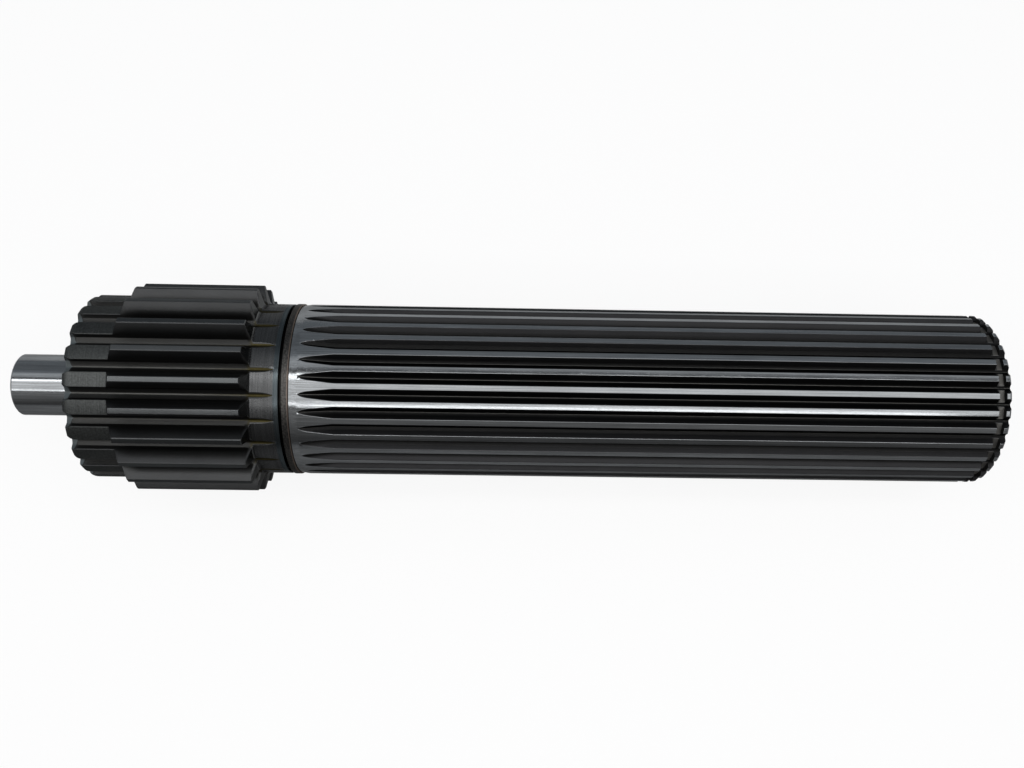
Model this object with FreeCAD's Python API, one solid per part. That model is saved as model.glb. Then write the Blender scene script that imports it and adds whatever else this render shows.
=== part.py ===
import FreeCAD
import Part
import math
import os

# Splined shaft, lying along X.
# The origin is on the axis, in the shoulder face of the gear from which the pilot journal stands out.
# The journal points to -X and the spline to +X. Z is up. Lengths are millimetres, angles are degrees.

# Pilot journal
journal_radius = 15.08
journal_length = 37.5
journal_chamfer = 0.8

# Gear, from its shoulder face
gear_teeth = 22
gear_module = 4.2333
gear_pressure_angle = 20.0
gear_backlash = 0.3
gear_dedendum_factor = 1.25
gear_root_corner = 1.7
gear_face_width = 81.1
gear_back_lean = 2.2
lowered_tip_depth = 5.94
lowered_tip_length = 20.2
lowered_step_lean = 2.8
lowered_tip_chamfer_length = 1.9
lowered_tip_chamfer_depth = 1.2
tooth_end_flare = 1.2
tooth_end_flare_length = 3.1
gear_cutter_radius = 60.0
gear_cutter_overrun = 3.0

# Turned collar, ring groove and ground collar
turned_collar_radius = 41.85
turned_collar_length = 13.2
ring_groove_width = 4.5
ring_groove_depth = 3.4
ground_collar_step = 0.46
ground_collar_length = 2.6
collar_edge_break = 0.3

# Spline
spline_teeth = 32
spline_pitch_radius = 40.64
spline_pressure_angle = 30.0
spline_addendum = 1.27
spline_dedendum = 1.71
spline_tooth_thickness = 4.15
spline_root_corner = 0.45
spline_length = 331.6
spline_lead = 1.5
spline_run_in = 16.5

# Groove for a snap ring, cut through the spline teeth near the end
end_groove_width = 3.4
end_groove_depth = 2.51
end_rib_width = 2.9
end_chamfer = 1.5

# Centre holes in both end faces
centre_hole_radius = 5.0
centre_hole_angle = 60.0
centre_drill_radius = 1.9
centre_drill_depth = 10.5
centre_drill_point_angle = 118.0

# Ring lying in the groove between the collars
ring_width = 3.1
ring_height = 3.55
ring_floor_clearance = 0.1
ring_mouth = 4.0

# How far a spline tooth is turned about the axis, from the lowest line of the shaft towards -Y
spline_turn = 1.4

# How far a cutter stands past the surface that it cuts
cutter_margin = 1.5
flank_points = 3

axis = FreeCAD.Vector(1, 0, 0)
origin = FreeCAD.Vector(0, 0, 0)

gear_pitch_radius = gear_module * gear_teeth / 2
gear_tip_radius = gear_pitch_radius + gear_module
gear_root_radius = gear_pitch_radius - gear_dedendum_factor * gear_module
gear_tooth_thickness = math.pi * gear_module / 2 - gear_backlash
lowered_tip_radius = gear_tip_radius - lowered_tip_depth

spline_tip_radius = spline_pitch_radius + spline_addendum
spline_root_radius = spline_pitch_radius - spline_dedendum
ground_collar_radius = spline_tip_radius - ground_collar_step
end_groove_floor = spline_tip_radius - end_groove_depth
ring_groove_floor = turned_collar_radius - ring_groove_depth

gear_end = gear_face_width + gear_back_lean
ring_groove_start = gear_end + turned_collar_length
ring_groove_end = ring_groove_start + ring_groove_width
spline_start = ring_groove_end + ground_collar_length
end_face = spline_start + spline_length
end_groove_end = end_face - end_rib_width
end_groove_start = end_groove_end - end_groove_width


def involute(angle):
    return math.tan(angle) - angle


def at(x, radius, angle=0.0):
    # A point at an angle, in radians, from the upright through the shaft's axis.
    return FreeCAD.Vector(x, radius * math.sin(angle), radius * math.cos(angle))


def half_space_angle(teeth, pitch_radius, pressure_angle, thickness, radius):
    # Half the angle of the gap between two teeth at a radius. Under the base circle a flank is radial.
    pressure = math.radians(pressure_angle)
    base_radius = pitch_radius * math.cos(pressure)
    here = math.acos(min(1.0, base_radius / radius))
    half_tooth = thickness / (2 * pitch_radius) + involute(pressure) - involute(here)
    return math.pi / teeth - half_tooth


def space_wire(x, teeth, pitch_radius, pressure_angle, thickness, root, outer, corner):
    # Outline of the gap between two teeth, in the plane at x, centred on the upright.
    # Its flanks are involutes, and its floor is flat with a bevelled corner at each flank.
    def half_angle(radius):
        return half_space_angle(teeth, pitch_radius, pressure_angle, thickness, radius)

    step = (outer - root - corner) / (flank_points - 1)
    radii = [root + corner + step * index for index in range(flank_points)]
    flank = Part.BSplineCurve()
    flank.interpolate([at(x, radius, half_angle(radius)) for radius in radii])
    other_flank = Part.BSplineCurve()
    other_flank.interpolate([at(x, radius, -half_angle(radius)) for radius in radii[::-1]])

    floor_half_width = flank.StartPoint.y - corner
    floor_right = FreeCAD.Vector(x, floor_half_width, root)
    floor_left = FreeCAD.Vector(x, -floor_half_width, root)
    edges = [
        Part.LineSegment(floor_left, floor_right).toShape(),
        Part.LineSegment(floor_right, flank.StartPoint).toShape(),
        flank.toShape(),
        Part.LineSegment(flank.EndPoint, other_flank.StartPoint).toShape(),
        other_flank.toShape(),
        Part.LineSegment(other_flank.EndPoint, floor_left).toShape(),
    ]
    return Part.Wire(edges)


def round_run_out(wire, x, root, cutter_radius, outer):
    # Where the round cutter lifts out, the gap is swept about the cutter's own axis.
    lift = math.acos(1 - (outer - root) / cutter_radius)
    centre = FreeCAD.Vector(x, 0, root + cutter_radius)
    return Part.Face(wire).revolve(centre, FreeCAD.Vector(0, -1, 0), math.degrees(lift))


def around(tool, teeth, first_angle):
    tools = []
    for index in range(teeth):
        turned = tool.copy()
        turned.rotate(origin, axis, first_angle + index * 360 / teeth)
        tools.append(turned)
    return tools


def gear_space_tools():
    outer = gear_tip_radius + cutter_margin
    full_depth_end = gear_end + gear_cutter_overrun

    def outline(x, widen):
        return space_wire(
            x, gear_teeth, gear_pitch_radius, gear_pressure_angle,
            gear_tooth_thickness - 2 * widen, gear_root_radius - widen, outer, gear_root_corner,
        )

    straight = Part.Face(outline(-cutter_margin, 0)).extrude(axis * (full_depth_end + cutter_margin))
    lifting = round_run_out(
        outline(full_depth_end, 0), full_depth_end, gear_root_radius, gear_cutter_radius, outer
    )
    # The edge of each gap is broken along its whole outline in the shoulder face.
    growth = tooth_end_flare / tooth_end_flare_length
    mouth = outline(-cutter_margin, tooth_end_flare + growth * cutter_margin)
    flare = Part.makeLoft([mouth, outline(tooth_end_flare_length, 0)], True, True)
    tool = straight.fuse([lifting, flare])
    # Two teeth stand either side of the lowest line, so the gap between them is there.
    return around(tool, gear_teeth, 180)


def spline_space_tools():
    outer = spline_tip_radius + cutter_margin
    full_depth_start = spline_start + spline_lead + spline_run_in

    def outline(x):
        return space_wire(
            x, spline_teeth, spline_pitch_radius, spline_pressure_angle,
            spline_tooth_thickness, spline_root_radius, outer, spline_root_corner,
        )

    length = end_face + cutter_margin - full_depth_start
    straight = Part.Face(outline(full_depth_start)).extrude(axis * length)
    # The run-in is straight: the gap sinks along a slope from the tips to its full depth.
    depth = spline_tip_radius - spline_root_radius
    slope = FreeCAD.Vector(-spline_run_in, 0, depth) * ((depth + cutter_margin) / depth)
    lifting = Part.Face(outline(full_depth_start)).extrude(slope)
    half_pitch = 180 / spline_teeth
    return around(straight.fuse(lifting), spline_teeth, 180 - spline_turn + half_pitch)


def centre_hole(x, inward):
    # A drilled hole with a cone for the lathe centre. Inward is 1 where it runs to +X, otherwise -1.
    cone_depth = (centre_hole_radius - centre_drill_radius) / math.tan(math.radians(centre_hole_angle / 2))
    drill_tip = centre_drill_radius / math.tan(math.radians(centre_drill_point_angle / 2))
    points = [
        at(x - inward * cutter_margin, 0),
        at(x - inward * cutter_margin, centre_hole_radius),
        at(x, centre_hole_radius),
        at(x + inward * cone_depth, centre_drill_radius),
        at(x + inward * centre_drill_depth, centre_drill_radius),
        at(x + inward * (centre_drill_depth + drill_tip), 0),
    ]
    return Part.Face(Part.makePolygon(points + points[:1])).revolve(origin, axis, 360)


def turned_blank():
    # Half section of the shaft as it comes off the lathe, before the teeth are cut.
    section = [
        at(-journal_length, 0),
        at(-journal_length, journal_radius - journal_chamfer),
        at(-journal_length + journal_chamfer, journal_radius),
        at(0, journal_radius),
        at(0, lowered_tip_radius - lowered_tip_chamfer_depth),
        at(lowered_tip_chamfer_length, lowered_tip_radius),
        at(lowered_tip_length, lowered_tip_radius),
        at(lowered_tip_length + lowered_step_lean, gear_tip_radius),
        at(gear_face_width, gear_tip_radius),
        at(gear_end, turned_collar_radius),
        at(ring_groove_start - collar_edge_break, turned_collar_radius),
        at(ring_groove_start, turned_collar_radius - collar_edge_break),
        at(ring_groove_start, ring_groove_floor),
        at(ring_groove_end, ring_groove_floor),
        at(ring_groove_end, ground_collar_radius - collar_edge_break),
        at(ring_groove_end + collar_edge_break, ground_collar_radius),
        at(spline_start, ground_collar_radius),
        at(spline_start + ground_collar_step, spline_tip_radius),
        at(end_groove_start, spline_tip_radius),
        at(end_groove_start, end_groove_floor),
        at(end_groove_end, end_groove_floor),
        at(end_groove_end, spline_tip_radius),
        at(end_face - end_chamfer, spline_tip_radius),
        at(end_face, spline_tip_radius - end_chamfer),
        at(end_face, 0),
    ]
    return Part.Face(Part.makePolygon(section + section[:1])).revolve(origin, axis, 360)


def splined_shaft():
    tools = gear_space_tools() + spline_space_tools()
    tools.append(centre_hole(-journal_length, 1))
    tools.append(centre_hole(end_face, -1))
    return turned_blank().cut(tools)


def snap_ring():
    # It lies against the wall of the ground collar, with its mouth over the lowest line.
    inner = ring_groove_floor + ring_floor_clearance
    outer = inner + ring_height
    start = ring_groove_end - ring_width
    section = [
        at(start, inner),
        at(start, outer),
        at(ring_groove_end, outer),
        at(ring_groove_end, inner),
    ]
    mouth_angle = math.degrees(ring_mouth / outer)
    ring = Part.Face(Part.makePolygon(section + section[:1])).revolve(origin, axis, 360 - mouth_angle)
    ring.rotate(origin, axis, 180 + mouth_angle / 2)
    return ring


os.makedirs("parts", exist_ok=True)
splined_shaft().exportStep("parts/splined_shaft.step")
snap_ring().exportStep("parts/snap_ring.step")
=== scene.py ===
import bpy
import math
from mathutils import Matrix, Vector

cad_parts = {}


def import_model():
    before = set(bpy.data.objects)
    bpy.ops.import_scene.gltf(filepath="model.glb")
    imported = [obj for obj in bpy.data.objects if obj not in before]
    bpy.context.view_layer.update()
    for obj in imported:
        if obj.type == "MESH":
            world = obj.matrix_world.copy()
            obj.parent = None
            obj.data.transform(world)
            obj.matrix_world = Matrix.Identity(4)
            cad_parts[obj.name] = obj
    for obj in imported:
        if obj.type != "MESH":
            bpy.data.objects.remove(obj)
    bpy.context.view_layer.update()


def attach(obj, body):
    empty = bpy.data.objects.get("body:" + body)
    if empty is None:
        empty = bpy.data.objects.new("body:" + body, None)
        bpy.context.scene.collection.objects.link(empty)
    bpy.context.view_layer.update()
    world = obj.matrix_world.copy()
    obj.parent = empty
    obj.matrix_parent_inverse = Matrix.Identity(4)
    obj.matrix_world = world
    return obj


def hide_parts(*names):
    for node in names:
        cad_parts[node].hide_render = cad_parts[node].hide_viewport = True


# Splined shaft on a pale table, seen from nearly above.
# Sizes are millimetres unless a name says otherwise, and meshes are made in metres.

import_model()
scene = bpy.context.scene
mm = 0.001


# Node maths

class Wire:
    # An output socket of a node, on which maths can be written as an expression
    def __init__(self, graph, socket):
        self.graph = graph
        self.socket = socket

    def maths(self, operation, *others):
        return self.graph.maths(operation, self, *others)

    def __add__(self, other):
        return self.maths("ADD", other)

    def __sub__(self, other):
        return self.maths("SUBTRACT", other)

    def __mul__(self, other):
        return self.maths("MULTIPLY", other)

    def __truediv__(self, other):
        return self.maths("DIVIDE", other)

    def __pow__(self, other):
        return self.maths("POWER", other)

    def __neg__(self):
        return self.maths("MULTIPLY", -1)

    def __gt__(self, other):
        return self.maths("GREATER_THAN", other)

    def __lt__(self, other):
        return self.maths("LESS_THAN", other)

    # Reflected forms, for a plain number on the left
    __radd__ = __add__
    __rmul__ = __mul__

    def __rsub__(self, other):
        return self.graph.maths("SUBTRACT", other, self)

    def __rtruediv__(self, other):
        return self.graph.maths("DIVIDE", other, self)

    def atLeast(self, other):
        return self.maths("MAXIMUM", other)

    def atMost(self, other):
        return self.maths("MINIMUM", other)

    def within(self, low, high):
        return self.atLeast(low).atMost(high)

    def part(self, name):
        # Another output of the same node
        return Wire(self.graph, self.graph.socketOf(self.socket.node.outputs, name))


class Graph:
    def __init__(self, tree):
        self.tree = tree
        self.tree.nodes.clear()

    def socketOf(self, sockets, key):
        if isinstance(key, int):
            return sockets[key]
        found = [s for s in sockets if s.identifier == key] or [s for s in sockets if s.name == key]
        return found[0]

    def add(self, kind, settings=None, inputs=None):
        # Settings go first, because some of them change which sockets a node has
        node = self.tree.nodes.new(kind)
        for name, value in (settings or {}).items():
            setattr(node, name, value)
        for key, value in (inputs or {}).items():
            socket = self.socketOf(node.inputs, key)
            if isinstance(value, Wire):
                self.tree.links.new(value.socket, socket)
            else:
                socket.default_value = value
        shown = [s for s in node.outputs if s.enabled]
        return Wire(self, shown[0]) if shown else node

    def maths(self, operation, *values):
        return self.add("ShaderNodeMath", {"operation": operation}, dict(enumerate(values)))

    def rise(self, value, low, high):
        # 0 below low and 1 above high, smooth between them
        return self.add("ShaderNodeMapRange", {"interpolation_type": "SMOOTHSTEP"},
                        {"Value": value, "From Min": low, "From Max": high})

    def tint(self, share, first, second):
        # A colour that goes from the first to the second
        return self.add("ShaderNodeMix", {"data_type": "RGBA"},
                        {"Factor_Float": share, "A_Color": first, "B_Color": second})

    def blend(self, share, first, second):
        # The same for numbers
        return self.add("ShaderNodeMix", {"data_type": "FLOAT"},
                        {"Factor_Float": share, "A_Float": first, "B_Float": second})


def geometryTree(name, sizes):
    # A geometry tree with a named input for each of these sizes
    tree = bpy.data.node_groups.new(name, "GeometryNodeTree")
    tree.interface.new_socket("Geometry", in_out="INPUT", socket_type="NodeSocketGeometry")
    tree.interface.new_socket("Geometry", in_out="OUTPUT", socket_type="NodeSocketGeometry")
    for size in sizes:
        tree.interface.new_socket(size, in_out="INPUT", socket_type="NodeSocketFloat")
    graph = Graph(tree)
    start = graph.add("NodeGroupInput")
    return graph, start, {size: start.part(size) for size in sizes}


def finishTree(graph, geometry, sharp, material):
    # Smooth shading with sharp edges, then the material
    smooth = graph.add("GeometryNodeSetShadeSmooth", {"domain": "FACE"},
                       {"Geometry": geometry, "Shade Smooth": True})
    creased = graph.add("GeometryNodeSetShadeSmooth", {"domain": "EDGE"},
                        {"Geometry": smooth, "Selection": sharp, "Shade Smooth": False})
    solid = graph.add("GeometryNodeRealizeInstances", None, {"Geometry": creased})
    painted = graph.add("GeometryNodeSetMaterial", None, {"Geometry": solid, "Material": material})
    graph.add("NodeGroupOutput", None, {"Geometry": painted})


def meshFromTree(name, graph, sizes, points=()):
    # Evaluates the tree on a mesh of points and keeps the result as a plain mesh
    start = bpy.data.meshes.new(name + "Points")
    start.from_pydata([(x, 0, radius) for x, radius in points], [], [])
    obj = bpy.data.objects.new(name, start)
    scene.collection.objects.link(obj)
    modifier = obj.modifiers.new(name, "NODES")
    modifier.node_group = graph.tree
    for item in graph.tree.interface.items_tree:
        if item.in_out == "INPUT" and item.name in sizes:
            modifier[item.identifier] = float(sizes[item.name])
    bpy.context.view_layer.update()
    evaluated = obj.evaluated_get(bpy.context.evaluated_depsgraph_get())
    mesh = bpy.data.meshes.new_from_object(evaluated)
    obj.modifiers.remove(modifier)
    obj.data = mesh
    mesh.name = name
    print(name, "has", len(mesh.polygons), "faces")
    return obj


# The shaft. Its surface is a grid: each row follows the turned outline, and its columns go round.
# Columns gather at the flanks, the roots and the edges of the teeth, and spread evenly on plain turns.

shaft = dict(
    journalRadius=15.08, journalLength=37.5, journalChamfer=0.8,
    gearTeeth=22, gearPitchRadius=46.566, gearPressureAngle=20.0, gearTooth=6.35,
    gearTip=50.80, gearRoot=41.275, gearFillet=1.9, gearFloor=0.25, gearFilletPower=1.7,
    gearFace=81.1, gearBackLean=2.2, gearCutter=60.0, gearOverrun=3.0, gearEdge=0.28,
    loweredTip=44.86, loweredLength=20.2, loweredLean=2.8, loweredChamfer=1.9, loweredChamferDepth=1.2,
    mouthWiden=1.2, mouthLength=3.1,
    collarRadius=41.85, collarLength=13.2, grooveWidth=4.5, grooveDepth=3.4,
    groundRadius=41.45, groundLength=2.6,
    splineTeeth=32, splinePitchRadius=40.64, splinePressureAngle=30.0, splineTooth=4.15,
    splineTip=41.91, splineRoot=38.93, splineFillet=0.9, splineFloor=0.12, splineFilletPower=1.8,
    splineLength=331.6, splineLead=1.5, runIn=16.5, runInPower=1.15, splineTurn=1.4, splineEdge=0.16,
    endGroove=3.4, endGrooveDepth=2.51, endRib=2.9, endChamfer=1.5,
    holeRadius=5.0, holeAngle=60.0, drillRadius=1.9, drillDepth=10.5, drillPoint=118.0,
)

gearEnd = shaft["gearFace"] + shaft["gearBackLean"]
grooveStart = gearEnd + shaft["collarLength"]
grooveEnd = grooveStart + shaft["grooveWidth"]
grooveFloor = shaft["collarRadius"] - shaft["grooveDepth"]
splineStart = grooveEnd + shaft["groundLength"]
endFace = splineStart + shaft["splineLength"]
farRibStart = endFace - shaft["endRib"]
farGrooveStart = farRibStart - shaft["endGroove"]

# The same columns serve both sets of teeth, so one set's count of teeth is the other's columns to a tooth
columns = shaft["gearTeeth"] * shaft["splineTeeth"]
toothColumns = dict(gear=shaft["splineTeeth"], spline=shaft["gearTeeth"])
flankColumns = dict(gear=10, spline=6)

gapShape = dict(
    edgeShare=0.3,      # how far in the columns of a tooth's edge stand, as a share of the edge
    edgeDepth=3.0,      # a gap shallower than this many edges has smaller ones
    shallow=0.4,        # under this depth a gap's floor narrows
    trace=0.12,         # under this depth a gap fades from the finish and has no sharp edge
    gather=1.8,         # how strongly columns gather at the root
    mouthHalf=3.6,      # half the width of a gear gap, from which the flare widens it
)


def between(first, last, share):
    return tuple(a + (b - a) * share for a, b in zip(first, last))


def spread(first, last, count):
    # Points between two points of the outline, both left out
    return [between(first, last, step / (count + 1)) for step in range(1, count + 1)]


def supported(points, inset=0.12, longStretch=1.5, innerRadius=10):
    # Rows close to both ends of each long stretch, so that the shading stays flat up to its edges.
    # The centre holes, inside the inner radius, need none.
    rows = points[:1]
    for first, last in zip(points, points[1:]):
        length = math.dist(first, last)
        if length > longStretch and max(first[1], last[1]) > innerRadius:
            rows += [between(first, last, inset / length), between(first, last, 1 - inset / length)]
        rows.append(last)
    return rows


def holeOutline(face, inward):
    # A centre hole from the axis outwards, in a face at x. Inward is 1 where it runs to +X.
    cone = (shaft["holeRadius"] - shaft["drillRadius"]) / math.tan(math.radians(shaft["holeAngle"] / 2))
    tip = shaft["drillRadius"] / math.tan(math.radians(shaft["drillPoint"] / 2))
    rim = 0.25
    return [
        (face + inward * (shaft["drillDepth"] + tip), 0),
        (face + inward * shaft["drillDepth"], shaft["drillRadius"]),
        (face + inward * cone, shaft["drillRadius"]),
        (face + inward * rim, shaft["holeRadius"] - rim),
        (face, shaft["holeRadius"]),
    ]


# Steps of less than half a millimetre in the outlines below are the small breaks of the edges.

def gearOutline():
    # From the journal's end face to the end of the gear's tips
    left = -shaft["journalLength"]
    journal, lowered, tip = shaft["journalRadius"], shaft["loweredTip"], shaft["gearTip"]
    chamfer, tipChamfer = shaft["journalChamfer"], shaft["loweredChamferDepth"]
    stepEnd = shaft["loweredLength"] + shaft["loweredLean"]
    soft, fillet, faceRow = 0.12, 0.25, 30.0
    return [
        (left, journal - chamfer - soft), (left + soft, journal - chamfer + soft),
        (left + chamfer - soft, journal - soft), (left + chamfer + soft, journal),
        (-fillet, journal), (0, journal + fillet),
        (0, faceRow), (0, shaft["gearRoot"] - shaft["mouthWiden"] - 0.3),
        (0, lowered - tipChamfer - 0.3), (0.1, lowered - tipChamfer), (1.0, lowered - 0.45),
        (shaft["loweredChamfer"], lowered), (shaft["mouthLength"], lowered),
        (shaft["loweredLength"], lowered),
        (stepEnd - 0.15, tip - 0.3), (stepEnd + 0.15, tip),
        (shaft["gearFace"] - 0.2, tip), (shaft["gearFace"] + 0.08, tip - 0.35),
    ]


def collarOutline():
    # The turned collar with its tongues, the ring groove and the ground collar
    collar, ground = shaft["collarRadius"], shaft["groundRadius"]
    cutter, tongueDepth = shaft["gearCutter"], collar - shaft["gearRoot"]
    tongueEnd = gearEnd + shaft["gearOverrun"] + math.sqrt(cutter ** 2 - (cutter - tongueDepth) ** 2)
    tongueStart, tongueRows, crisp = gearEnd + 0.4, 14, 0.02
    return [
        (gearEnd - 0.4, collar + 1.4), (tongueStart, collar),
        *spread((tongueStart, collar), (tongueEnd, collar), tongueRows),
        (tongueEnd - crisp, collar), (tongueEnd + crisp, collar),
        (grooveStart - 0.35, collar), (grooveStart - 0.08, collar - 0.12), (grooveStart, collar - 0.4),
        (grooveStart, grooveFloor), (grooveEnd, grooveFloor),
        (grooveEnd, ground - 0.35), (grooveEnd + 0.08, ground - 0.1), (grooveEnd + 0.35, ground),
        (splineStart - 1.6, ground),
    ]


def splineOutline():
    # The spline, the groove through its teeth and the far end face
    tip, chamfer = shaft["splineTip"], shaft["endChamfer"]
    runInStart = splineStart + shaft["splineLead"]
    runInEnd = runInStart + shaft["runIn"]
    floor = tip - shaft["endGrooveDepth"]
    runInRows, crisp, faceRow = 22, 0.02, 20.0
    return [
        (splineStart + 1.3, tip), (runInStart - crisp, tip), (runInStart + crisp, tip),
        *spread((runInStart, tip), (runInEnd, tip), runInRows), (runInEnd, tip),
        (farGrooveStart - 0.15, tip), (farGrooveStart, tip - 0.2),
        (farGrooveStart, floor), (farRibStart, floor),
        (farRibStart, tip - 0.2), (farRibStart + 0.15, tip),
        (endFace - chamfer, tip), (endFace - 0.1, tip - chamfer + 0.1), (endFace, tip - chamfer - 0.2),
        (endFace, shaft["splineRoot"] - 0.3), (endFace, faceRow),
    ]


def turnedOutline():
    # Half section of the shaft, from the axis at the journal's end to the axis at the far end
    points = holeOutline(-shaft["journalLength"], 1) + gearOutline() + collarOutline() + splineOutline()
    return supported(points + holeOutline(endFace, -1)[::-1])


def involute(angle):
    return math.tan(angle) - angle


def gapColumns(graph, size, kind, blank, shift, widen, column):
    # Radius and angle, from the middle of a gap between teeth, of one column of a row, and what the finish
    # reads: whether it lies in the gap, how far it is from the floor's middle, and whether it is on an edge.
    # Blank is the turned radius there, shift is how far the cutter has moved out of the work, and widen is
    # how far a flare widens the gap.
    teeth, pitch = shaft[kind + "Teeth"], shaft[kind + "PitchRadius"]
    tip, root = size[kind + "Tip"], size[kind + "Root"]
    pressure = math.radians(shaft[kind + "PressureAngle"])
    base = pitch * math.cos(pressure)
    half, flankEnd = toothColumns[kind] // 2, flankColumns[kind]
    flare = 1 + widen / gapShape["mouthHalf"]
    mostSine = 0.5      # keeps the arc sines below within their range

    # Half the width of the gap in its floor, where the flanks would meet it without fillets
    rootHere = math.acos(min(1, base / shaft[kind + "Root"]))
    rootTooth = shaft[kind + "Tooth"] / (2 * pitch) + involute(pressure) - involute(rootHere)
    rootWidth = shaft[kind + "Root"] * math.sin(math.pi / teeth - rootTooth)

    def halfWidth(radius, floor):
        here = (base / radius).atMost(1).maths("ARCCOSINE")
        tooth = size[kind + "Tooth"] / (2 * pitch) + involute(pressure) - (here.maths("TANGENT") - here)
        width = radius * (math.pi / teeth - tooth).maths("SINE")
        depth = (1 - (radius - root) / size[kind + "Fillet"]).atLeast(0)
        return width - (rootWidth - floor) * depth ** shaft[kind + "FilletPower"]

    depth = blank - root - shift
    edge = (depth / gapShape["edgeDepth"]).within(0, shaft[kind + "Edge"])
    floor = size[kind + "Floor"] * (depth / gapShape["shallow"]).within(0, 1)

    climb = ((column - 1) / (flankEnd - 1)).within(0, 1)
    full = root + (tip - root) * climb ** gapShape["gather"]
    cutRadius = full.atMost((blank - shift - edge).atLeast(root))
    flankRadius = cutRadius + shift
    flankWidth = halfWidth(cutRadius, floor) * column.atMost(1) * flare
    flankAngle = (flankWidth / flankRadius).within(0, mostSine).maths("ARCSINE")

    topWidth = halfWidth((blank - shift).atLeast(root), floor) * flare
    topAngle = (topWidth / blank).within(0, mostSine).maths("ARCSINE")
    landStart = topAngle + edge / blank
    across = ((column - flankEnd - 2) / (half - flankEnd - 2)).within(0, 1)
    landAngle = landStart + (math.pi / teeth - landStart) * across

    onLand = column > flankEnd + 1.5
    onFlank = column < flankEnd + 0.5
    onEdge = 1 - onLand - onFlank
    inset = gapShape["edgeShare"] * edge
    radius = onFlank * flankRadius + onEdge * (blank - inset) + onLand * blank
    angle = onFlank * flankAngle + onEdge * (topAngle + inset / blank) + onLand * landAngle
    plain = column * (math.pi / teeth / half)
    cut = depth > 0
    return dict(
        radius=graph.blend(cut, blank, radius),
        angle=graph.blend(cut, plain, angle),
        inGap=(depth / gapShape["trace"]).within(0, 1) * (onFlank + onEdge * 0.5),
        fromFloor=(column / flankEnd).atMost(1),
        crease=(depth > gapShape["trace"]) * (column > flankEnd - 0.5) * (column < flankEnd + 2.5))


def shaftTree(material, rows):
    sizes = ["gearCutter", "mouthWiden", "mouthLength", "runIn"]
    for kind in toothColumns:
        sizes += [kind + part for part in ("Tip", "Root", "Tooth", "Fillet", "Floor")]
    graph, start, size = geometryTree("shaftSurface", sizes)
    grid = graph.add("GeometryNodeMeshGrid", None, {
        "Size X": rows - 1.0, "Size Y": float(columns), "Vertices X": rows, "Vertices Y": columns + 1})
    position = graph.add("GeometryNodeInputPosition")
    place = graph.add("ShaderNodeSeparateXYZ", None, {0: position})

    def whole(value):
        # Rounded down, with a nudge so that a whole number stays what it is
        return (value + 0.25).maths("FLOOR")

    row = whole(place.part("X") + (rows - 1) / 2)
    turn = whole(place.part("Y") + columns / 2)
    outline = graph.add("GeometryNodeSampleIndex", {"data_type": "FLOAT_VECTOR"},
                        {"Geometry": start, "Value": position, "Index": row})
    station = graph.add("ShaderNodeSeparateXYZ", None, {0: outline})
    along, blank = station.part("X"), station.part("Z").atLeast(0.001)

    def gapsRound(kind, firstGap, shift, widen):
        # All gaps of one set of teeth. FirstGap is the angle of one of them from the lowest line.
        pitchAngle = 2 * math.pi / shaft[kind + "Teeth"]
        offset = round(firstGap / (2 * math.pi / columns))
        count = (turn - offset) / toothColumns[kind]
        gap = (count + 0.5).maths("FLOOR")
        across = (count - gap) * 2      # from -1 to 1, with the gap's middle at 0
        column = whole(across.maths("ABSOLUTE") * (toothColumns[kind] / 2))
        found = gapColumns(graph, size, kind, blank, shift, widen, column)
        found["angle"] = math.pi + firstGap + gap * pitchAngle + across.maths("SIGN") * found["angle"]
        return found

    # The gear's gaps end where the round cutter lifts out, and flare in the shoulder face
    cutter = size["gearCutter"]
    past = (along - gearEnd - shaft["gearOverrun"]).atLeast(0)
    gearLift = cutter - (cutter * cutter - past * past).atLeast(0).maths("SQRT")
    widen = size["mouthWiden"] * (1 - along.maths("ABSOLUTE") / size["mouthLength"]).within(0, 1)
    gear = gapsRound("gear", 0, gearLift - widen, widen)

    # The spline's gaps sink along a slope that is nearly straight
    before = ((splineStart + shaft["splineLead"] + shaft["runIn"] - along) / size["runIn"]).atLeast(0)
    splineLift = (size["splineTip"] - size["splineRoot"]) * before ** shaft["runInPower"]
    firstGap = math.pi / shaft["splineTeeth"] - math.radians(shaft["splineTurn"])
    spline = gapsRound("spline", firstGap, splineLift, 0)

    onSpline = along > (grooveStart + grooveEnd) / 2
    both = {name: graph.blend(onSpline, gear[name], spline[name]) for name in gear}
    radius, angle = both["radius"] * mm, both["angle"]
    for name in ("inGap", "fromFloor", "crease"):
        grid = graph.add("GeometryNodeStoreNamedAttribute", {"data_type": "FLOAT", "domain": "POINT"},
                         {"Geometry": grid, "Name": name, "Value": both[name]})
    wrapped = graph.add("ShaderNodeCombineXYZ", None, {
        "X": along * mm, "Y": -radius * angle.maths("SINE"), "Z": radius * angle.maths("COSINE")})
    surface = graph.add("GeometryNodeSetPosition", None, {"Geometry": grid, "Position": wrapped})
    closed = graph.add("GeometryNodeMergeByDistance", None, {"Geometry": surface, "Distance": 2e-6})
    outward = graph.add("GeometryNodeFlipFaces", None, {"Mesh": closed})

    sharpBend = math.radians(28)
    bend = graph.add("GeometryNodeInputMeshEdgeAngle")
    crease = graph.add("GeometryNodeInputNamedAttribute", {"data_type": "FLOAT"}, {"Name": "crease"})
    finishTree(graph, outward, (bend > sharpBend).atLeast(crease > 0.99), material)
    return graph


# Finish of the shaft

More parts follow.
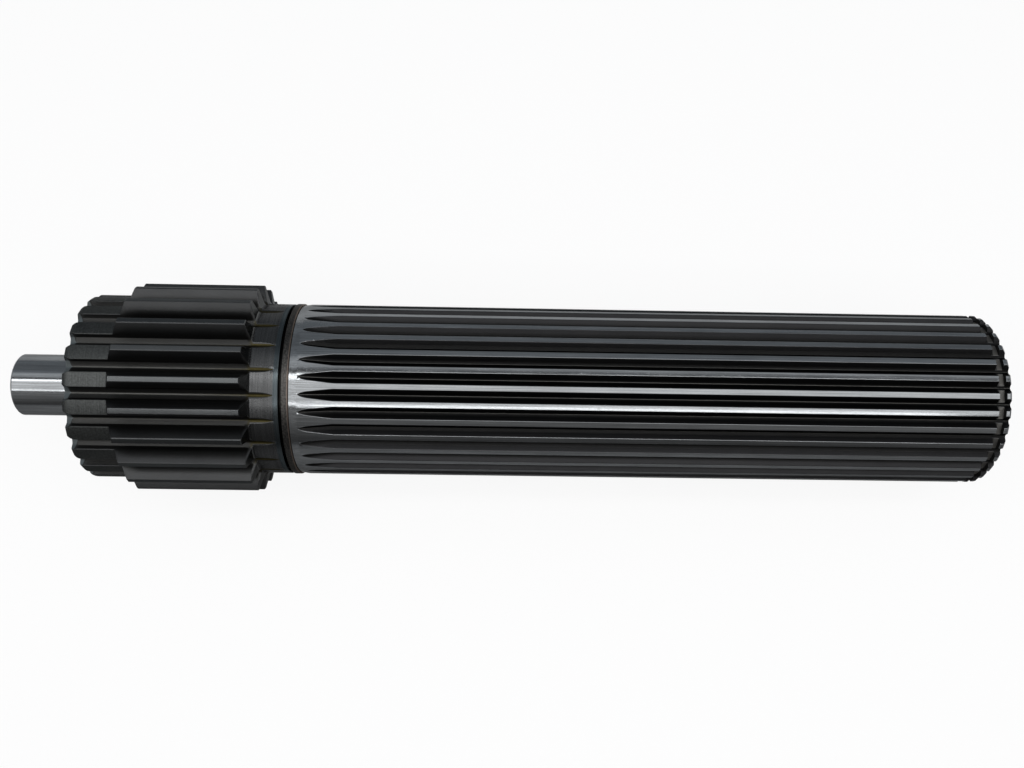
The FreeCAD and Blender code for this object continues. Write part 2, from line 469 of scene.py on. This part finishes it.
steel = dict(
    ground=(0.262, 0.272, 0.280, 1), collar=(0.070, 0.071, 0.072, 1), rim=(0.062, 0.074, 0.080, 1),
    land=(0.079, 0.083, 0.085, 1), lowered=(0.073, 0.077, 0.076, 1), wearAndGlint=(0.048, 0.050, 0.049, 1),
    backFace=(0.110, 0.112, 0.111, 1), shoulder=(0.110, 0.116, 0.120, 1), endFace=(0.140, 0.142, 0.145, 1),
    # groove paints shade into the clearance of the ring's groove
    groove=(0.030, 0.029, 0.028, 1), grooveFloor=(0.130, 0.126, 0.119, 1),
    # flank and deepShade paint shade in the gear's gaps, darkest deep in them
    flank=(0.050, 0.051, 0.052, 1), deepShade=(0.038, 0.038, 0.037, 1), root=(0.070, 0.070, 0.066, 1),
    # mouth is a painted reflection on the flared mouths of the gear's gaps
    mouth=(0.125, 0.140, 0.144, 1), oil=(0.042, 0.035, 0.014, 1), oilStart=55.0, oilShare=0.7,
    # splineFlank and splineDeepShade paint the spline's gaps near black, painted shade
    splineFlank=(0.024, 0.024, 0.025, 1), splineDeepShade=(0.010, 0.010, 0.010, 1),
    # splineRoot and root are painted highlights along the floors of the gaps
    splineRoot=(0.092, 0.090, 0.085, 1),
)
roughness = dict(land=0.25, lowered=0.42, collar=0.28, rim=0.24, gap=0.42, ground=0.07, farGroove=0.6)
edgeTint = (0.45, 0.45, 0.45, 1)        # keeps dark steel from turning white at its outline


def newMaterial(name):
    material = bpy.data.materials.new(name)
    material.use_nodes = True
    return material, Graph(material.node_tree)


def finishMaterial(graph, inputs):
    inputs = {"Metallic": 1.0, "Specular Tint": edgeTint, **inputs}
    surface = graph.add("ShaderNodeBsdfPrincipled", None, inputs)
    graph.add("ShaderNodeOutputMaterial", None, {"Surface": surface})


def shaftZones(graph, x, radius):
    # Places with a finish of their own, and places painted with shade, each 1 inside and 0 outside
    def past(start, end):
        return graph.rise(x, start, end)

    left, loweredEnd, gearFace = -shaft["journalLength"], shaft["loweredLength"], shaft["gearFace"]
    journal = 1 - past(-0.25, -0.05)
    pastGear = past(gearEnd - 0.1, gearEnd + 0.1)
    betweenCollars = past(grooveStart - 0.1, grooveStart) * (1 - past(grooveEnd - 0.02, grooveEnd))
    farGroove = past(farGrooveStart, farGrooveStart + 0.02) * (1 - past(farRibStart, farRibStart + 0.02))
    # farWall and farShade mark painted shade: the rib's wall and the floor beside the lands' ends
    farWall = past(farRibStart - 0.05, farRibStart - 0.02) * farGroove
    farEnd = past(endFace - 0.1, endFace - 0.02)
    shoulder = (1 - past(0.02, 0.15)) * (1 - journal)
    journalEnd = 1 - past(left + 0.05, left + 0.15)
    return dict(
        journal=journal, pastGear=pastGear, farGroove=farGroove, farEnd=farEnd, shoulder=shoulder,
        spline=past(grooveEnd - 0.3, grooveEnd - 0.2),
        lowered=1 - past(loweredEnd - 0.1, loweredEnd + 0.1),
        backFace=past(gearFace - 0.1, gearFace + 0.1) * (1 - pastGear),
        rim=past(grooveStart - 2.4, grooveStart - 2.1),
        ringGroove=betweenCollars * (1 - graph.rise(radius, grooveFloor + 2.8, grooveFloor + 3.1)),
        farShade=(farWall + 1 - past(farGrooveStart + 0.4, farGrooveStart + 1.5)).atMost(1),
        face=(farEnd + shoulder + journalEnd).atMost(1))


def turnedColour(graph, zone, grain):
    # The surfaces that were turned and ground
    wearAndGlint = graph.tint(graph.rise(grain, 0.3, 0.7), steel["wearAndGlint"], steel["lowered"])
    gearTop = graph.tint(zone["lowered"], steel["land"], wearAndGlint)
    gearTop = graph.tint(zone["backFace"], gearTop, steel["backFace"])
    collar = graph.tint(zone["rim"], steel["collar"], steel["rim"])
    colour = graph.tint(zone["pastGear"], gearTop, collar)
    colour = graph.tint(zone["spline"], colour, steel["ground"])
    colour = graph.tint(zone["journal"], colour, steel["ground"])
    # The ring's groove, below the ring's top, is painted near black: painted shade between the collar and
    # the ring
    colour = graph.tint(zone["ringGroove"], colour, steel["groove"])
    colour = graph.tint(zone["farEnd"], colour, steel["endFace"])
    return graph.tint(zone["shoulder"], colour, steel["shoulder"])


def gapColour(graph, zone, x, fromFloor):
    # The gaps that were cut, with a painted highlight along the floor
    floorHighlight = 1 - graph.rise(fromFloor, 0.05, 0.16)
    # Oil lies on the gear's floor towards the place where the cutter ran out
    oily = graph.rise(x, steel["oilStart"], gearEnd + 4) * steel["oilShare"]
    # The lighter floor is a painted highlight, browned by real oil towards the run-out
    gearRoot = graph.tint(oily, steel["root"], steel["oil"])
    # The sides are painted with shade that darkens towards the floor
    sides = graph.tint(graph.rise(fromFloor, 0.45, 0.95), steel["deepShade"], steel["flank"])
    gear = graph.tint(floorHighlight, sides, gearRoot)
    # The flared mouth is painted lighter, a painted reflection in a wedge that points along the floor
    wedge = x - shaft["mouthLength"] * (1.2 - fromFloor)
    gear = graph.tint(1 - graph.rise(wedge, -0.5, 0.0), gear, steel["mouth"])
    tongue = graph.tint(graph.rise(fromFloor, 0.25, 0.7), steel["oil"], steel["flank"])
    gear = graph.tint(graph.rise(x, gearEnd - 2, gearEnd + 1), gear, tongue)
    # The spline's sides are painted with shade, near black towards the floor
    sides = graph.tint(graph.rise(fromFloor, 0.45, 0.8), steel["splineDeepShade"], steel["splineFlank"])
    spline = graph.tint(floorHighlight, sides, steel["splineRoot"])
    return graph.tint(zone["spline"], gear, spline)


def shaftSteel():
    material, graph = newMaterial("shaftSteel")
    place = graph.add("ShaderNodeTexCoord").part("Object")
    split = graph.add("ShaderNodeSeparateXYZ", None, {0: place})
    x, y, z = (split.part(axis) / mm for axis in "XYZ")
    radius = (y * y + z * z).maths("SQRT")
    zone = shaftZones(graph, x, radius)
    inGap = graph.add("ShaderNodeAttribute", {"attribute_name": "inGap"}).part("Fac")
    fromFloor = graph.add("ShaderNodeAttribute", {"attribute_name": "fromFloor"}).part("Fac")
    gap = graph.rise(inGap, 0.3, 0.7)

    def noise(along, across, detail, rough=0.5):
        vector = graph.add("ShaderNodeCombineXYZ", None, {"X": x * along, "Y": y * across, "Z": z * across})
        return graph.add("ShaderNodeTexNoise", None, {
            "Vector": vector, "Scale": 1.0, "Detail": detail, "Roughness": rough})

    lines = noise(0.025, 2.2, 3.0, 0.75)            # ground lines along the shaft
    turned = noise(1.9, 0.03, 3.0, 0.75)            # turned lines round it
    grain = noise(1.3, 1.3, 4.0, 0.7)
    clouds = noise(0.06, 0.12, 3.0)                 # faint stains
    flecks = graph.rise(noise(1.1, 2.4, 1.0), 0.66, 0.74)
    rings = graph.add("ShaderNodeTexNoise", {"noise_dimensions": "1D"}, {
        "W": radius, "Scale": 1.6, "Detail": 3.0, "Roughness": 0.7})

    colour = graph.tint(gap, turnedColour(graph, zone, grain), gapColour(graph, zone, x, fromFloor))
    # The far groove has a duller floor, with painted shade on its rib's wall and along the floor beside the
    # lands' ends
    farFloor = graph.tint(zone["farShade"], steel["grooveFloor"], steel["deepShade"])
    colour = graph.tint(zone["farGroove"] * (1 - gap), colour, farFloor)

    ground = (zone["spline"] + zone["journal"]).atMost(1) * (1 - gap)
    ground = ground * (1 - zone["farGroove"]) * (1 - zone["face"])
    plainTurned = zone["pastGear"] * (1 - zone["spline"]) + zone["lowered"] * (1 - zone["journal"]) * 0.6
    onTurned = plainTurned * (1 - gap)
    shade = 0.72 + grain * 0.28 + clouds * 0.28
    shade = shade * graph.blend(ground, 1.0, 0.3 + lines * 1.4)
    shade = shade * graph.blend(onTurned, 1.0, 0.2 + turned * 1.6)
    shade = shade * graph.blend(zone["face"], 1.0, 0.5 + rings)
    colour = graph.add("ShaderNodeVectorMath", {"operation": "SCALE"}, {0: colour, "Scale": shade})

    gearRough = graph.blend(zone["lowered"], roughness["land"], roughness["lowered"])
    collarRough = graph.blend(zone["rim"], roughness["collar"], roughness["rim"])
    rough = graph.blend(zone["pastGear"], gearRough, collarRough)
    rough = graph.blend(gap, rough, roughness["gap"]) + (grain - 0.5) * 0.12
    rough = graph.blend(ground, rough, roughness["ground"] + lines * 0.1 + flecks * 0.1)
    rough = graph.blend(zone["farGroove"], rough, roughness["farGroove"])

    rest = (1 - ground) * (1 - onTurned) * grain * 0.7
    height = ground * lines * 0.5 + onTurned * (turned * 1.6 + grain * 0.5) + zone["face"] * rings + rest
    bumped = graph.add("ShaderNodeBump", None, {"Height": height, "Strength": 0.5, "Distance": 0.03 * mm})
    finishMaterial(graph, {"Base Color": colour, "Roughness": rough, "Normal": bumped})
    return material


def buildShaft():
    outline = turnedOutline()
    piece = meshFromTree("shaftBody", shaftTree(shaftSteel(), len(outline)), shaft, outline)
    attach(piece, "root")
    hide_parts("splined_shaft")


# The ring in the groove between the collars

ring = dict(width=3.1, height=3.55, clearance=0.1, mouth=4.0, edge=0.3)
# edgeGlint is a painted highlight along the ring's edge by the ground collar
springSteel = dict(dark=(0.028, 0.027, 0.026, 1), light=(0.090, 0.086, 0.081, 1), edgeGlint=(0.22, 0.17, 0.14, 1))


def ringTree(material):
    graph, _, size = geometryTree("snapRing", ["width", "height", "edge"])
    inner = grooveFloor + ring["clearance"]
    middle = inner + ring["height"] / 2
    gap = ring["mouth"] / (inner + ring["height"])
    arc = graph.add("GeometryNodeCurveArc", {"mode": "RADIUS"}, {
        "Resolution": 360, "Radius": middle * mm, "Start Angle": gap / 2, "Sweep Angle": 2 * math.pi - gap})
    section = graph.add("GeometryNodeCurvePrimitiveQuadrilateral", None, {
        "Width": size["height"] * mm, "Height": size["width"] * mm})
    rounded = graph.add("GeometryNodeFilletCurve", {"mode": "POLY"}, {
        "Curve": section, "Radius": size["edge"] * mm, "Count": 3})
    band = graph.add("GeometryNodeCurveToMesh", None, {
        "Curve": arc, "Profile Curve": rounded, "Fill Caps": True})
    # The arc lies flat with its mouth at +X, so it is stood up with the mouth down
    stood = graph.add("GeometryNodeTransform", None, {
        "Geometry": band,
        "Translation": ((grooveEnd - ring["width"] / 2) * mm, 0, 0),
        "Rotation": (0, math.pi / 2, 0)})
    sharpBend = math.radians(40)
    finishTree(graph, stood, graph.add("GeometryNodeInputMeshEdgeAngle") > sharpBend, material)
    return graph


def ringSteel():
    material, graph = newMaterial("ringSteel")
    place = graph.add("ShaderNodeTexCoord").part("Object")
    x = graph.add("ShaderNodeSeparateXYZ", None, {0: place}).part("X") / mm
    grains = graph.add("ShaderNodeTexNoise", None, {"Vector": place, "Scale": 1400.0, "Detail": 3.0})
    colour = graph.tint(graph.rise(grains, 0.3, 0.7), springSteel["dark"], springSteel["light"])
    # The edge by the ground collar is painted light beige, a painted highlight
    wearAndGlint = graph.rise(x, grooveEnd - 0.5, grooveEnd - 0.25) * 0.7
    colour = graph.tint(wearAndGlint, colour, springSteel["edgeGlint"])
    bumped = graph.add("ShaderNodeBump", None, {"Height": grains, "Strength": 0.4, "Distance": 0.08 * mm})
    finishMaterial(graph, {"Base Color": colour, "Roughness": 0.28 + grains * 0.2, "Normal": bumped})
    return material


def buildRing():
    piece = meshFromTree("ringBody", ringTree(ringSteel()), ring)
    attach(piece, "root")
    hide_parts("snap_ring")


# Camera. The shaft runs to the right in the picture, a little down and away.

photoView = dict(
    elevation=77.8, axisPoint=204.1, distance=476.29, drop=3.93,
    sideTilt=0.0153, farTilt=0.0214,    # radians
    lens=33.42, sensor=36.0, nearest=10,
)


def viewAxes():
    # Along the shaft, towards the camera, and down in the picture
    lift = math.radians(photoView["elevation"])
    toCamera = Vector((0, -math.cos(lift), math.sin(lift)))
    downward = Vector((0, -math.sin(lift), -math.cos(lift)))
    return Vector((1, 0, 0)), toCamera, downward


def addCamera():
    alongShaft, toCamera, downward = viewAxes()
    side, far = photoView["sideTilt"], photoView["farTilt"]
    # The shaft's own directions, written in the camera's right, down and forward
    seenAlong = Vector((math.cos(far) * math.cos(side), math.cos(far) * math.sin(side), math.sin(far)))
    seenNear = seenAlong.cross(Vector((0, 1, 0))).normalized()
    if seenNear.z > 0:
        seenNear = -seenNear
    seenDown = seenAlong.cross(seenNear)
    if seenDown.y < 0:
        seenDown = -seenDown

    def world(index):
        return alongShaft * seenAlong[index] + toCamera * seenNear[index] + downward * seenDown[index]

    right, down, forward = world(0), world(1), world(2)
    aim = Vector((photoView["axisPoint"], 0, 0))
    eye = aim - down * photoView["drop"] - forward * photoView["distance"]
    data = bpy.data.cameras.new("photoCamera")
    data.lens = photoView["lens"]
    data.sensor_width = photoView["sensor"]
    data.clip_start = photoView["nearest"] * mm
    camera = bpy.data.objects.new("photoCamera", data)
    turn = Matrix((right, -down, -forward)).transposed().to_4x4()
    camera.matrix_world = Matrix.Translation(eye * mm) @ turn
    scene.collection.objects.link(camera)
    scene.camera = camera
    print("camera at", [round(value, 1) for value in eye])


# Table. It touches the gear's lowest teeth and the spline's far end, so it slopes up a little to the right.

tableTop = dict(
    size=12000, restX=81.1, restZ=-50.46, farX=433.8, farZ=-41.91,
    paper=(0.86, 0.86, 0.86, 1), shade=(0.30, 0.30, 0.30, 1), nearEdge=80,
    seenWhite=0.88, reflectedWhite=0.12,
)


def tableWhite():
    # White to the camera. Seen in the metal its near half is dim, as where a photographer stands.
    material, graph = newMaterial("tableWhite")
    rays = graph.add("ShaderNodeLightPath")
    seen = rays.part("Is Camera Ray").atLeast(rays.part("Is Transmission Ray"))
    inMetal = rays.part("Is Glossy Ray")
    place = graph.add("ShaderNodeTexCoord").part("Object")
    y = graph.add("ShaderNodeSeparateXYZ", None, {0: place}).part("Y")
    edge = tableTop["nearEdge"] * mm
    near = 1 - graph.rise(y, -edge, edge)
    paper = graph.add("ShaderNodeBsdfDiffuse", None, {"Color": tableTop["paper"]})
    shade = graph.add("ShaderNodeBsdfDiffuse", None, {"Color": tableTop["shade"]})
    white = graph.add("ShaderNodeEmission", None, {"Color": (1, 1, 1, 1), "Strength": 1.0})
    lit = graph.add("ShaderNodeMixShader", None, {0: inMetal * near, 1: paper, 2: shade})
    share = (seen * tableTop["seenWhite"]).atLeast(inMetal * (1 - near) * tableTop["reflectedWhite"])
    surface = graph.add("ShaderNodeMixShader", None, {0: share, 1: lit, 2: white})
    graph.add("ShaderNodeOutputMaterial", None, {"Surface": surface})
    return material


def addTable():
    slope = (tableTop["farZ"] - tableTop["restZ"]) / (tableTop["farX"] - tableTop["restX"])
    middle = (tableTop["restZ"] - slope * tableTop["restX"]) * mm
    half = tableTop["size"] * mm / 2
    corners = [(-half, -half), (half, -half), (half, half), (-half, half)]
    mesh = bpy.data.meshes.new("table")
    mesh.from_pydata([(x, y, middle + slope * x) for x, y in corners], [], [(0, 1, 2, 3)])
    mesh.materials.append(tableWhite())
    table = bpy.data.objects.new("table", mesh)
    scene.collection.objects.link(table)
    print("table slopes up by", round(slope * 1000, 1), "mm in a metre")


# Lamps. A panel with a tube along each border hangs by the camera, and a soft box stands behind it.
# Each angle is round the shaft, from the camera towards the table's near edge.

lamps = dict(
    panel=dict(angle=2.0, distance=720, width=500, radiance=1.4),
    upperTube=dict(angle=-17.0, distance=700, width=80, radiance=4.2),
    lowerTube=dict(angle=20.8, distance=700, width=45, radiance=3.3, middle=-15.0),
    farSoftbox=dict(angle=-36.5, distance=800, width=220, radiance=0.42),
)


def addLamp(name, angle, distance, width, radiance, length=1500, middle=204.0):
    # A long lamp that lies along the shaft and faces it
    alongShaft, toCamera, downward = viewAxes()
    direction = toCamera * math.cos(math.radians(angle)) + downward * math.sin(math.radians(angle))
    data = bpy.data.lights.new(name, "AREA")
    data.shape = "RECTANGLE"
    data.size = length * mm
    data.size_y = width * mm
    data.energy = radiance * math.pi * data.size * data.size_y
    lamp = bpy.data.objects.new(name, data)
    place = Vector((middle, 0, 0)) + direction * distance
    turn = Matrix((alongShaft, direction.cross(alongShaft), direction)).transposed()
    lamp.matrix_world = Matrix.Translation(place * mm) @ turn.to_4x4()
    scene.collection.objects.link(lamp)
    print("lamp", name)


# Sky. It is white to the camera, and in the metal a dim studio that is lighter round the lamps.

sky = dict(
    dim=0.10, glow=0.26, nearLoss=0.35, farGlow=0.18, endGlow=0.6, fill=0.4,
    white=(1, 1, 1, 1), cool=(0.97, 1.05, 1.13, 1),
)


def addSky():
    world = bpy.data.worlds.new("studio")
    scene.world = world
    world.use_nodes = True
    graph = Graph(world.node_tree)
    direction = graph.add("ShaderNodeTexCoord").part("Generated")
    split = graph.add("ShaderNodeSeparateXYZ", None, {0: direction})
    y = split.part("Y")
    ends = split.part("X").maths("ABSOLUTE")
    # How far round the shaft a direction is from the camera: 1 at the camera, 0 at the horizon
    toCamera = viewAxes()[1]
    facing = y * toCamera.y + split.part("Z") * toCamera.z
    around = facing / (1.001 - ends * ends).maths("SQRT")
    glow = graph.rise(around, 0.15, 0.85) * (1 - graph.rise(around, 0.86, 0.92))
    nearSide = graph.rise(-y, 0.5, 0.9)
    farSide = graph.rise(y, 0.65, 0.95)
    reflected = (sky["dim"] + glow * sky["glow"]) * (1 - nearSide * sky["nearLoss"])
    reflected = reflected + farSide * sky["farGlow"] + ends ** 4 * sky["endGlow"]
    rays = graph.add("ShaderNodeLightPath")
    backdrop = rays.part("Is Camera Ray").atLeast(rays.part("Is Transmission Ray"))
    light = graph.blend(rays.part("Is Glossy Ray"), sky["fill"], reflected)
    # Its far half is cooler, which turns the upper lands a little blue
    cool = graph.rise(y, -0.1, 0.5) * (1 - backdrop)
    background = graph.add("ShaderNodeBackground", None, {
        "Color": graph.tint(cool, sky["white"], sky["cool"]), "Strength": graph.blend(backdrop, light, 1.0)})
    graph.add("ShaderNodeOutputWorld", None, {"Surface": background})
    print("sky")


buildShaft()
buildRing()
addCamera()
addTable()
for name, lamp in lamps.items():
    addLamp(name, **lamp)
addSky()
scene.view_settings.view_transform = "Standard"
